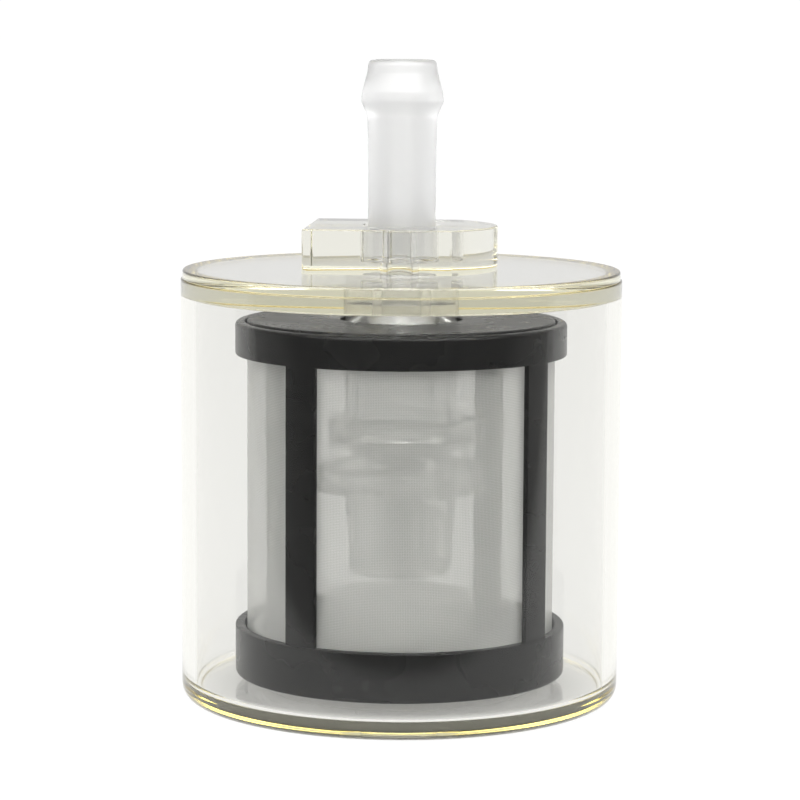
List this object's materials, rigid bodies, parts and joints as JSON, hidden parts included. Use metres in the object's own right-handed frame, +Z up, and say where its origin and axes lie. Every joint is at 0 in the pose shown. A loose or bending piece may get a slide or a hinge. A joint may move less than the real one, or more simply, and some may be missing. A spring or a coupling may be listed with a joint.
{
  "type": "fuel filter",
  "caption": "In-line fuel filter for a small engine: clear round bowl and lid, hose nipple on top, screen in a black ribbed cage, sprung non-return valve.",
  "frame": {"origin": "middle of the cup's underside, which stands on the surface", "axes": "+Z up along the filter's axis towards the hose nipple, -Y towards the front, +X to the right"},
  "size_m": [0.052, 0.052, 0.0754],
  "materials": {
    "clear_plastic": "clear, pale yellow, polished",
    "nipple_plastic": "translucent, natural, smooth",
    "pale_plastic": "translucent, natural, smooth",
    "poppet_plastic": "moulded",
    "rubber": "satin",
    "spring_steel": "drawn wire",
    "black_plastic": "satin, moulded",
    "screen": "woven monofilament"
  },
  "bodies": {
    "housing": {"cup": "clear_plastic", "outlet_bush": "clear_plastic", "lid": "clear_plastic", "hose_nipple": "nipple_plastic", "standpipe": "pale_plastic", "valve_cage": "pale_plastic", "guide_cup": "pale_plastic", "cage_frame": "black_plastic", "cage_top_cap": "black_plastic", "cage_bottom_cap": "pale_plastic", "cage_collar_seal": "rubber", "mesh_sleeve": "screen", "valve_spring": "spring_steel"},
    "poppet": {"valve_poppet": "poppet_plastic", "poppet_seal": "rubber"}
  },
  "joints": [
    {"name": "poppet_slide", "type": "slide", "parent": "housing", "child": "poppet", "axis": [0, 0, -1], "range_m": [0, 0.0025], "stiffness_N_per_m": 150, "springref_m": -0.004, "deforming": ["valve_spring"]}
  ]
}
